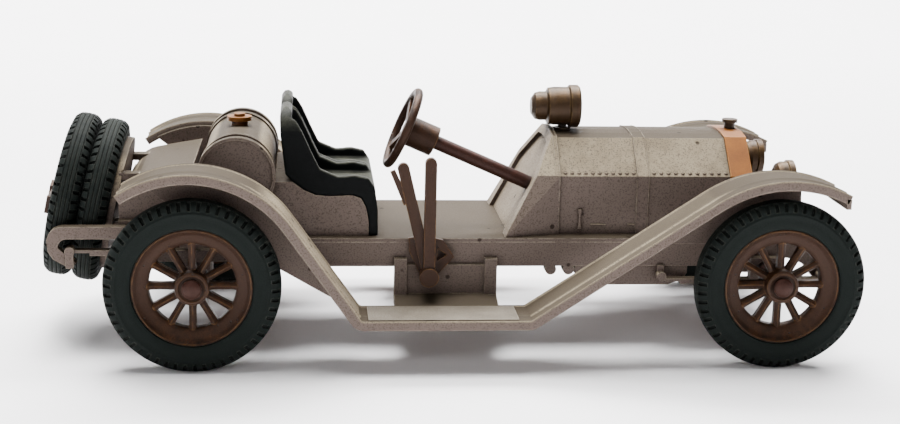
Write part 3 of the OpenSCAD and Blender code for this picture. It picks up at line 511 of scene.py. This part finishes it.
# half of the tyre's section from the bead to the crown: radius, half width, and how far a notch cuts it
tyre_half = [
    (6.00, 1.15, 0), (6.10, 1.32, 0), (6.35, 1.40, 0), (6.90, 1.43, 0), (7.40, 1.41, 0), (7.52, 1.47, 0),
    (7.62, 1.47, 0), (7.70, 1.39, 0), (7.90, 1.38, 0), (7.98, 1.37, 1), (8.35, 1.25, 1), (8.58, 1.00, 1),
    (8.70, 0.80, 1), (8.74, 0.74, 0), (8.64, 0.68, 0), (8.64, 0.60, 0), (8.77, 0.55, 0), (8.80, 0.30, 0),
    (8.70, 0.26, 0), (8.70, 0.18, 0), (8.80, 0.14, 0)]
notch_depth, notch_lean, notch_count = 0.24, 0.6, 54
# along one block: how far round it is, and whether the near or the far shoulder is cut there
notch_steps = (
    (0.0, 0, 0), (0.06, 1, 0), (0.34, 1, 0), (0.40, 0, 0), (0.50, 0, 0), (0.56, 0, 1), (0.84, 0, 1),
    (0.90, 0, 0))
tyre_rows = []
for block_number in range(notch_count):
    for phase, near, far in notch_steps:
        a = math.tau * (block_number + phase) / notch_count
        row = []
        for sign, cut_here, half in ((1, near, tyre_half), (-1, far, tyre_half[::-1])):
            for r, w, notched in half:
                cut = notch_depth * cut_here * notched
                along_axle = sign * (w - notch_lean * cut)
                row.append(((r - cut) * math.cos(a), (r - cut) * math.sin(a), along_axle))
        tyre_rows.append(row)
tyre_skin = skin(tyre_rows, ring=True)

spare_at, spare_pitch, spare_lean = Vector((rear_x - 10.7, 0, 14.05)), 2.95, math.radians(12)
spare_turn = Matrix((
    (math.sin(spare_lean), 0, -math.cos(spare_lean)),
    (0, 1, 0),
    (math.cos(spare_lean), 0, math.sin(spare_lean)))).to_4x4()
tyre_places = {
    f"{end}_{side}": Matrix.Translation((x, sign * wheel_y, axle_z)) @ axle_turns[side]
    for end, x in (("rear", rear_x), ("front", front_x)) for side, sign in (("right", -1), ("left", 1))}
tyre_places["inner_spare"] = Matrix.Translation(spare_at) @ spare_turn
tyre_places["outer_spare"] = tyre_places["inner_spare"] @ Matrix.Translation((0, 0, spare_pitch))
for name, place in tyre_places.items():
    tyre = shell(name + "_rubber_ring", [tyre_skin], tyre_rubber, crease=50, place=place)
    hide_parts(name + "_tyre")
    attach(tyre, "chassis" if "spare" in name else name + "_wheel_set")

# ---- Bonnet ----
# The scuttle and the two-part bonnet are one hollow casting, with rolled seams over the joints.
# Small domed rivets run along each shoulder, and a spring handle and two catches hold each side.

shoulder_y, shoulder_z, ridge_y, ridge_z, deck_z = 7.0, 18.2, 3.5, 21.70, 11.95
half_hood = [(shoulder_y, deck_z + 0.05), (shoulder_y, shoulder_z), (ridge_y, ridge_z), (1.75, 21.92),
             (0.6, 21.99)]
hood_line = [(-y, z) for y, z in half_hood] + half_hood[::-1]


def seam(x, grown, rise, half):
    """A rolled seam over the bonnet, across the car at x. Its foot is sunk into the sheet."""
    foot = grown - 0.2
    rows = []
    for i, (y, z) in enumerate(hood_line):
        before, after = hood_line[max(i - 1, 0)], hood_line[min(i + 1, len(hood_line) - 1)]
        along = Vector((after[0] - before[0], after[1] - before[1])).normalized()
        out = Vector((-along.y, along.x))
        rows.append([(x + dx, y + h * out.x, z + h * out.y)
                     for dx, h in ((-half, foot), (-half, grown), (-half * 0.5, grown + rise),
                                   (half * 0.5, grown + rise), (half, grown), (half, foot))])
    return skin(rows, caps=True)


def turned_at(line, place, out, steps=16):
    """A small turned form set at a place, with its axis along out."""
    turn = Vector(out).to_track_quat("Z", "Y").to_matrix().to_4x4()
    points, faces = turned(line, steps)
    return [tuple(Matrix.Translation(place) @ turn @ Vector(p)) for p in points], faces


rivet_line = [(0.21, -0.1), (0.21, 0.02), (0.17, 0.09), (0.09, 0.13), (0.0, 0.14)]
catch_line = [(0.0, -0.05), (0.10, 0.0), (0.13, 0.3), (0.13, 1.3), (0.10, 1.6), (0.0, 1.65)]
handle_line = [(0.0, 0.0), (0.20, 0.0), (0.20, 0.2), (0.14, 0.3), (0.14, 1.5), (0.22, 1.62), (0.27, 1.85),
               (0.22, 2.08), (0.0, 2.18)]
rivet_bays = ((38.45, 45.75), (47.95, 55.75))
rivets_in_bay, rivet_rise = 11, 0.42
seam_rise = 0.12
handle_x, handle_y, handle_z = rear_x + 40.1, 7.2, 12.6
catch_y, catch_z, catch_dip = 7.02, 13.0, -0.03
catches = ((rear_x + 41.3, 1.0), (rear_x + 45.3, 0.45))  # place and length
# place, height over the sheet and half width of each seam
hood_parts = [seam(rear_x + x, grown, seam_rise, half) for x, grown, half in
              ((37.42, 0.18, 0.10), (37.80, 0.18, 0.10), (46.16, 0.05, 0.07), (47.38, 0.05, 0.07))]
for sign in (-1, 1):
    slope = Vector((0, sign * (ridge_z - shoulder_z), shoulder_y - ridge_y)).normalized()
    foot_of_rivet = Vector((0, sign * shoulder_y, shoulder_z)) + rivet_rise * Vector(
        (0, -sign * (shoulder_y - ridge_y), ridge_z - shoulder_z)).normalized()
    for first, last in rivet_bays:
        for i in range(rivets_in_bay):
            x = rear_x + first + (last - first) * i / (rivets_in_bay - 1)
            hood_parts.append(turned_at(rivet_line, foot_of_rivet + Vector((x, 0, 0)), slope, 12))
    hood_parts.append(turned_at(handle_line, (handle_x, sign * handle_y, handle_z), (0, 0, 1)))
    for x, length in catches:
        line = [(r, z * length) for r, z in catch_line]
        hood_parts.append(turned_at(line, (x, sign * catch_y, catch_z), (1, 0, catch_dip)))
hood_trim = shell("bonnet_seams_and_rivets", hood_parts, silver_lacquer)
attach(hood_trim, "chassis")

# ---- Seats ----
# Two bucket seats moulded in soft black plastic, glued down on the cast seat box.
# Their edges are rounded; their tops are grey, and their upright faces are darker with painted shade.

seat_plastic = cast_finish(
    "seat_plastic", light=(0.040, 0.040, 0.029), dark=(0.014, 0.015, 0.012), side=(0.0025, 0.0032, 0.0034),
    shade_and_dirt_tone=(0.002, 0.002, 0.002), bare_and_highlight=(0.13, 0.125, 0.10), metallic=0.0, rough=0.5, patch=0.0015,
    speckle=0.4, pits=0.0, edge_wear_and_highlight_share=0.6, bump=0.00003, gloss=0.06)
finish_nodes(seat_plastic, "driver_seat", "passenger_seat", "radiator_core")
seat_voxel, seat_smoothing, seat_rounds = 0.00014, 0.5, 6
for name in ("driver_seat", "passenger_seat"):
    softened = nodes[name].modifiers.new("voxels", "REMESH")
    softened.mode, softened.voxel_size, softened.use_smooth_shade = "VOXEL", seat_voxel, True
    rounded = nodes[name].modifiers.new("rounding", "SMOOTH")
    rounded.factor, rounded.iterations = seat_smoothing, seat_rounds

# ---- Lamps, caps and radiator ----
# Brass-plated castings: the radiator shell, its cap, the filler cap, two headlamps and a searchlight.
# Each is pressed into its hole; the shell and the filler cap are the brighter ones.

brass_plating = cast_finish(
    "brass_plating", light=(0.20, 0.066, 0.003), dark=(0.13, 0.040, 0.002), side=(0.16, 0.050, 0.002),
    shade_and_dirt_tone=(0.020, 0.009, 0.004), bare_and_highlight=(0.45, 0.24, 0.06), metallic=0.4, rough=0.45)
aged_brass = cast_finish(
    "aged_brass", light=(0.070, 0.036, 0.010), dark=(0.026, 0.014, 0.005), side=(0.032, 0.016, 0.006),
    shade_and_dirt_tone=(0.006, 0.003, 0.002), bare_and_highlight=(0.20, 0.125, 0.04), metallic=0.5, rough=0.42, patch=0.0014)
finish_nodes(brass_plating, "radiator_shell", "filler_cap")
finish_nodes(aged_brass, "searchlight", "right_headlamp", "left_headlamp", "radiator_cap")
